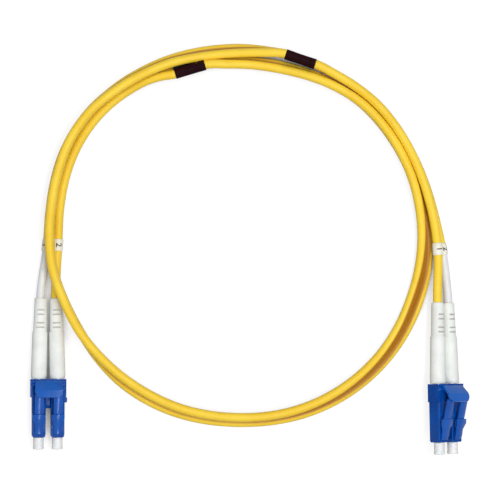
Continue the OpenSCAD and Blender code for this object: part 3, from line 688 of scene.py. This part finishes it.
# %% Label sleeves
LABEL_R = JACKET_D / 2 + 0.00025
LABEL_WALL, LABEL_WAVE, LABEL_CUT = 0.0002, 0.00001, 0.00004
LABEL_PROFILE = [  # part of the half length, radius
    (-1, LABEL_R - LABEL_CUT), (-0.985, LABEL_R), (-0.5, LABEL_R - LABEL_WAVE), (0, LABEL_R),
    (0.5, LABEL_R - LABEL_WAVE), (0.985, LABEL_R), (1, LABEL_R - LABEL_CUT),
    (1, LABEL_R - LABEL_WALL), (-1, LABEL_R - LABEL_WALL)]


def square_to(ahead):
    """Two ways square to a cable: one level, one upwards."""
    side = ahead.cross(Vector((0, 0, 1))).normalized()
    return side, side.cross(ahead)


def lathe_rings(middle, ahead, profile, count=40):
    """Rings round a straight line, at the places and radii of the profile."""
    side, up = square_to(ahead)
    turns = [math.tau * k / count for k in range(count)]
    return [[middle + ahead * at + r * (side * math.cos(a) + up * math.sin(a)) for a in turns]
            for at, r in profile]


label_film = plastic("label_film", srgb(240, 238, 222), srgb(231, 228, 208),
                     rough=(0.4, 0.55), grain=0.0006)
labels = {}
for port in PORTS:
    rings = lathe_rings(*label_places[port], [(at * LABEL_L / 2, r) for at, r in LABEL_PROFILE])
    mesh = ring_mesh("number_label_" + port, rings)
    mesh.materials.append(label_film)
    labels[port] = link("number_label_" + port, mesh)
    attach(labels[port], "cord")
    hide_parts("label_" + port)
print("labels", sorted(labels))

# %% [markdown]
# The number on a label is a text object made a mesh and then wrapped round the label, a
# hundredth of a millimetre above it, so that it stays crisp from any distance. The flat digit
# is cut into narrow bands first, since a wide flat face would dip into the round label. It
# reads along the cable.


# %% Printed numbers
NUMBER_H, NUMBER_BOLD = 0.0027, 0.00006  # height of the type, how much bolder it is drawn
NUMBER_RISE, BAND = 0.00001, 0.0001  # above the label, width of a band
NUMBER_TURN = {"a1": -32, "a2": 14, "b1": 16, "b2": 38}  # degrees from the label's top


def flat_digit(name, digit):
    """A digit as a flat mesh, cut into bands."""
    text = bpy.data.curves.new(name, "FONT")
    text.body, text.size, text.offset = digit, NUMBER_H, NUMBER_BOLD
    text.align_x, text.align_y = "CENTER", "CENTER"
    text.resolution_u = 3
    carrier = link(name, text)
    bpy.context.view_layer.update()
    mesh = bpy.data.meshes.new_from_object(
        carrier.evaluated_get(bpy.context.evaluated_depsgraph_get()))
    bpy.data.objects.remove(carrier)
    work = bmesh.new()
    work.from_mesh(mesh)
    bands = math.ceil(NUMBER_H / 2 / BAND)
    for band in range(-bands, bands + 1):
        bmesh.ops.bisect_plane(work, geom=work.verts[:] + work.edges[:] + work.faces[:],
                               plane_co=(0, band * BAND, 0), plane_no=(0, 1, 0))
    work.to_mesh(mesh)
    work.free()
    return mesh


def printed_number(port, ink):
    """The connector's number, bent round its label."""
    mesh = flat_digit("number_" + port, port[1])
    middle, ahead = label_places[port]
    side, up = square_to(ahead)
    radius = LABEL_R + NUMBER_RISE
    for v in mesh.vertices:
        angle = math.radians(NUMBER_TURN[port]) + v.co.y / radius
        v.co = middle + ahead * v.co.x + radius * (up * math.cos(angle) - side * math.sin(angle))
    mesh.materials.clear()
    mesh.materials.append(ink)
    piece = link("label_number_" + port, mesh)
    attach(piece, "cord")
    print(piece.name, len(mesh.polygons), "faces")
    return piece


ink_finish = Finish("black_ink")
black_ink = ink_finish.paint(
    ink_finish.blend(ink_finish.noise(0.0004).ramp(0.3, 0.7), srgb(24, 22, 24),
                     srgb(52, 48, 50)), ink_finish.noise(0.0005).ramp(0.3, 0.7, 0.45, 0.6))
numbers = {port: printed_number(port, black_ink) for port in PORTS}

# %% [markdown]
# Each jacket rides on the cord's body and takes the place of its stand-in solid. The zip cord
# leaves one sleeve and ends in the other. Each leg leaves its boot, or the label where the white
# tube takes over, and ends in its sleeve.


# %% Riding the cords on their body
def declare_cord(piece, line, node, leaves, diameter, **more):
    """Rides a piece on the cord's body and hides its stand-in solid. The point leaves is not
    used.
    """
    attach(piece, "cord")
    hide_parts(node)


declare_cord(zip_piece, zip_line, "zip_cord", zip_line[0][:3],
             round(JACKET_PITCH + JACKET_D, 4),
             with_pieces=[sleeves["a"], sleeves["b"]], lay="coiled")
for port in PORTS:
    line = leg_lines[port][0]
    declare_cord(leg_pieces[port], line, "leg_" + port, line[-1], JACKET_D,
                 with_pieces=[sleeves[port[0]], labels[port], numbers[port]], lay="loose")
    if port in TUBED:
        line = leg_lines[port][1]
        declare_cord(tube_pieces[port], line, "white_tube_" + port, line[-1], TUBE_D,
                     with_pieces=[labels[port]], lay="loose")
print("cords", 1 + len(leg_pieces) + len(tube_pieces))

# %% [markdown]
# The plugs' rigid solids have the right shapes, but every edge of a solid is perfectly sharp,
# and a moulded edge never is: its small radius catches the light as a bright line. Each shown
# piece is a copy of its solid, with doubled points merged, flat triangles joined and the
# edges rounded by a Bevel modifier. The solid behind it is hidden.


# %% Rounding a solid's edges
SAME_POINT = 2e-6  # points nearer than this are one
FLAT, SHARP = math.radians(1), math.radians(40)


def dressed(node, body, finish, radius, segments=2, angle=32):
    """A copy of a solid with rounded edges, that rides on its body in the solid's place."""
    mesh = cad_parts[node].data.copy()
    work = bmesh.new()
    work.from_mesh(mesh)
    bmesh.ops.remove_doubles(work, verts=work.verts, dist=SAME_POINT)
    bmesh.ops.dissolve_limit(work, angle_limit=FLAT, verts=work.verts, edges=work.edges)
    work.to_mesh(mesh)
    work.free()
    mesh.materials.clear()
    mesh.materials.append(finish)
    for face in mesh.polygons:
        face.material_index = 0
    piece = link(node + "_shown", mesh)
    bevel = piece.modifiers.new("round edges", "BEVEL")
    bevel.width, bevel.segments = radius, segments
    bevel.limit_method, bevel.angle_limit = "ANGLE", math.radians(angle)
    bevel.use_clamp_overlap = True
    bevel.harden_normals = True
    mesh.shade_smooth()
    mesh.set_sharp_from_angle(angle=SHARP)
    evaluated(piece)
    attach(piece, body)
    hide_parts(node)
    return piece


print("edge rounding ready")

# %% [markdown]
# A moulded face is never quite flat, since plastic shrinks as it cools. The latch arms and the
# triggers are a little higher in the middle, which draws the lamp's reflection out into a long
# streak. Their material makes that crown with a bump, from a number that each point carries: how
# far across the piece it lies. The boots are rubber with slots cut into the tail, so that it can
# bend. Little light reaches the floors of the slots, so their base colour is painted darker, as
# painted shade.


# %% Finishes of the plugs
def crowned_plastic(name, base, drift, rough, crown):
    """A glossy plastic whose face is a little higher in the middle, by crown metres."""
    finish = Finish(name, Specular_IOR_Level=0.26)
    tone = finish.noise(0.006).ramp(0.35, 0.65)
    across = finish.attribute("across")
    dome = (1 - across * across) + finish.noise(0.0002) * (0.000003 / crown)
    return finish.paint(finish.blend(tone, base, drift),
                        finish.noise(0.0015).ramp(0.3, 0.7, *rough), dome, crown)


def slotted_rubber(name, base, drift, shade):
    """A white rubber with painted shade: the floors of its slots are coloured darker."""
    finish = Finish(name, Subsurface_Weight=0.08, Subsurface_Scale=0.001,
                    Specular_IOR_Level=0.35)
    tone = finish.blend(finish.noise(0.006).ramp(0.35, 0.65), base, drift)
    # Painted shade: the floors of the slots get the darker shade colour in place of the shade
    # that falls there.
    tone = finish.blend(finish.attribute("painted_slot_shade"), tone, shade)
    return finish.paint(tone, finish.noise(0.0015).ramp(0.3, 0.7, 0.45, 0.6),
                        finish.noise(0.00025, detail=4.0), 0.000006)


# Painted shade and painted light: the housings and clips get a darker blue and the triggers a
# lighter blue than the latch arms, for the shade and light on one blue plastic.
painted_shade_blue = plastic("deep_blue_plastic", srgb(5, 77, 166), srgb(3, 67, 152),
                    rough=(0.24, 0.34), grain=0.0002, depth=0.000003,
                    Specular_IOR_Level=0.12)
latch_blue = crowned_plastic("latch_blue_plastic", srgb(6, 86, 180), srgb(4, 76, 166),
                             rough=(0.18, 0.26), crown=0.00025)
painted_light_trigger_blue = crowned_plastic("trigger_blue_plastic", srgb(8, 92, 186), srgb(6, 82, 172),
                               rough=(0.2, 0.28), crown=0.00014)
boot_white = slotted_rubber("boot_white_rubber", srgb(240, 242, 239), srgb(231, 234, 230),
                            shade=srgb(190, 187, 182))
cap_white = plastic("cap_white_plastic", srgb(238, 239, 240), srgb(230, 232, 234),
                    rough=(0.35, 0.5), Subsurface_Weight=0.25, Subsurface_Scale=0.0015)
print("plug finishes made")

# %% [markdown]
# Those two finishes read numbers that are stored on the finished meshes. The first is how far
# across a latch arm or a trigger each point lies, from -1 to 1. The second marks the floors of
# the boots' slots, which get painted shade. It is stored on whole faces, so that it doesn't run
# out over their neighbours.

# %% Numbers for the finishes
LATCH_HALF_W, TRIGGER_HALF_W = 0.0015, 0.0046
SLOT_FLOOR, NEAR_FLOOR = 0.0017, 0.00006  # from the boot's axis, and how near counts
LEVEL = 0.98  # a face is level when its normal points up or down by this much


def seen_by_plug(plug, way):
    """A way on the table, as the plug's own frame has it."""
    return plug_turn(plug).transposed() @ way


def store_across(piece, plug, middle, half_width):
    """Stores how far across the piece each point lies, from -1 to 1."""
    values = piece.data.attributes.new("across", "FLOAT", "POINT")
    values.data.foreach_set("value", [
        (seen_by_plug(plug, v.co - PLUGS[plug][0]).x - middle) / half_width
        for v in piece.data.vertices])


def mark_slots(boot, plug):
    """Marks the floors of a boot's slots, the only level faces so near its axis, for painted
    shade.
    """
    marks = boot.data.attributes.new("painted_slot_shade", "FLOAT", "FACE")
    found = []
    for face in boot.data.polygons:
        height = abs(seen_by_plug(plug, face.center - PLUGS[plug][0]).z)
        level = abs(seen_by_plug(plug, face.normal).z) > LEVEL
        found.append(1.0 if level and abs(height - SLOT_FLOOR) < NEAR_FLOOR else 0.0)
    marks.data.foreach_set("value", found)
    print(boot.name, int(sum(found)), "slot faces")


print("stored numbers ready")

# %% [markdown]
# Now the plugs are dressed, piece by piece. What moves rides on its own body: the latch arms,
# the triggers and the dust caps. Housings, boots and clips stay with the cord. The latch arms
# have the roundest edges, and the boots, with their thin slots, the sharpest.

# %% Dressing the plugs
EDGE_R, LATCH_EDGE_R, BOOT_EDGE_R = 0.00012, 0.00018, 0.00006
for port in PORTS:
    plug, side = port[0], -1 if port[1] == "1" else 1
    dressed("housing_" + port, "cord", painted_shade_blue, EDGE_R)
    latch = dressed("latch_" + port, "latch_" + port, latch_blue, LATCH_EDGE_R,
                    segments=3)
    store_across(latch, plug, side * HALF_PITCH, LATCH_HALF_W)
    boot = dressed("boot_" + port, "cord", boot_white, BOOT_EDGE_R, angle=25)
    mark_slots(boot, plug)
    dressed("dust_cap_" + port, "dust_cap_" + port, cap_white, EDGE_R)
for plug in PLUGS:
    dressed("duplex_clip_" + plug, "cord", painted_shade_blue, EDGE_R)
    trigger = dressed("trigger_" + plug, "trigger_" + plug, painted_light_trigger_blue,
                      EDGE_R)
    store_across(trigger, plug, 0, TRIGGER_HALF_W)
print("dressed", 4 * len(PORTS) + 2 * len(PLUGS), "solids")

# %% [markdown]
# The pieces inside a plug show only when a cap comes off or a plug is looked into. Their
# solids stay as they are and get a finish of their own: polished ceramic, turned steel with
# rings left by the tool, drawn spring wire, nickel plate, soft crimp metal and the fiber's
# soft yellow coat.


# %% Inner pieces
def metal(name, tone, drift, rough, ring_size=0.00005):
    """A metal with fine rings round the plug's length."""
    finish = Finish(name, Metallic=1.0)
    rings = finish.noise(ring_size, stretch=(0.05, 1.0, 0.05), detail=2.0)
    return finish.paint(finish.blend(finish.noise(0.001).ramp(0.3, 0.7), tone, drift),
                        rings.ramp(0.3, 0.7, *rough), rings, depth=0.000002)


inner = {
    "ferrule": plastic("white_ceramic", srgb(240, 240, 236), srgb(232, 233, 230),
                       rough=(0.08, 0.16), depth=0.0000005, Coat_Weight=0.5),
    "ferrule_holder": metal("turned_steel", srgb(196, 196, 198), srgb(182, 182, 186),
                            (0.22, 0.34)),
    "ferrule_spring": metal("spring_wire", srgb(170, 170, 176), srgb(156, 156, 164),
                            (0.25, 0.38)),
    "rear_insert": metal("nickel_plate", srgb(206, 203, 196), srgb(192, 189, 182),
                         (0.2, 0.32)),
    "crimp_sleeve": metal("crimp_metal", srgb(214, 214, 216), srgb(198, 198, 202),
                          (0.28, 0.42)),
    "buffered_fiber": plastic("fiber_buffer", srgb(236, 214, 128), srgb(228, 203, 112),
                              rough=(0.35, 0.45), Subsurface_Weight=0.1,
                              Subsurface_Scale=0.0005)}
for kind, finish in inner.items():
    for port in PORTS:
        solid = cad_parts[f"{kind}_{port}"]
        for slot in solid.material_slots:
            slot.material = finish
print("finished", sorted(inner))

# %% [markdown]
# The table is a plain white sheet. Under plain light its colour alone would look grey, so it
# also glows a little towards the camera: it reads as white paper and still shows the soft
# shadow under the cord. The glow fades in narrow gaps, such as between two boots, because
# little light reaches the paper there. Ambient Occlusion finds those gaps.


# %% Table
TABLE_SIDE, TABLE_DROP = 4.0, 0.00002  # how wide, and how far under the cord
TABLE_GLOW, GAP_REACH = 0.83, 0.008  # what counts as a gap reaches this far


def seen_directly(tree):
    """1 for what the camera sees, also in a reflection or through something clear."""
    camera_ray, glossy, through = (
        tree.node("ShaderNodeLightPath", out=f"Is {kind} Ray")
        for kind in ("Camera", "Glossy", "Transmission"))
    return camera_ray.math("MAXIMUM", glossy).math("MAXIMUM", through)


def end_with(tree, kind, shader):
    """Makes the output node of a material or world and links the shader to it."""
    end = tree.tree.nodes.new(kind)
    tree.tree.links.new(shader.socket, end.inputs["Surface"])


corners = [(x * TABLE_SIDE / 2, y * TABLE_SIDE / 2, 0)
           for x, y in ((-1, -1), (1, -1), (1, 1), (-1, 1))]
table_mesh = bpy.data.meshes.new("table")
table_mesh.from_pydata(corners, [], [(0, 1, 2, 3)])
table = link("table", table_mesh)
table.location.z = -TABLE_DROP
table_finish = bpy.data.materials.new("white_table")
table_finish.use_nodes = True
nodes = Tree(table_finish.node_tree)
table_finish.node_tree.nodes.clear()
open_sky = nodes.node("ShaderNodeAmbientOcclusion", {"samples": 8}, {"Distance": GAP_REACH},
                      out=1)
glow = nodes.node("ShaderNodeEmission", {}, {
    "Color": (1, 1, 1, 1),
    "Strength": seen_directly(nodes) * TABLE_GLOW * open_sky.ramp(0.08, 0.5, 0.05, 1.0)})
sheet = nodes.node("ShaderNodeBsdfDiffuse", {}, {"Color": srgb(130, 130, 130)})
end_with(nodes, "ShaderNodeOutputMaterial",
         nodes.node("ShaderNodeAddShader", {}, {0: sheet, 1: glow}))
table_mesh.materials.append(table_finish)
print("table", TABLE_SIDE, "m wide")

# %% [markdown]
# The light is a long strip lamp high on the right, a weak lamp from the upper left and an even
# white room. The strip is what draws long streaks on the latch arms. Together they light a
# level face by just as much as shows its colour as written. The room looks fully white to the
# camera and in reflections, and gives less light than that to everything else.

# %% Room and lamps
ROOM_LIGHT = 0.42
LAMPS = {  # place, length and width in metres, power in watts
    "key_strip": ((0.22, 0.0, 0.95), 1.2, 0.12, 7.0),
    "fill_lamp": ((-0.6, 0.5, 0.8), 0.8, 0.8, 0.6)}

world = bpy.data.worlds.new("white_room")
bpy.context.scene.world = world
world.use_nodes = True
room = Tree(world.node_tree)
world.node_tree.nodes.clear()
end_with(room, "ShaderNodeOutputWorld", room.node("ShaderNodeBackground", {}, {
    "Color": (1, 1, 1, 1),
    "Strength": seen_directly(room) * (1 - ROOM_LIGHT) + ROOM_LIGHT}))
for name, (place, length, width, power) in LAMPS.items():
    data = bpy.data.lights.new(name, "AREA")
    data.shape, data.size, data.size_y, data.energy = "RECTANGLE", length, width, power
    lamp = bpy.data.objects.new(name, data)
    lamp.location = place
    lamp.rotation_euler = (VIEW_MIDDLE - Vector(place)).to_track_quat("-Z", "Y").to_euler()
    bpy.context.scene.collection.objects.link(lamp)
print("lamps", sorted(LAMPS))
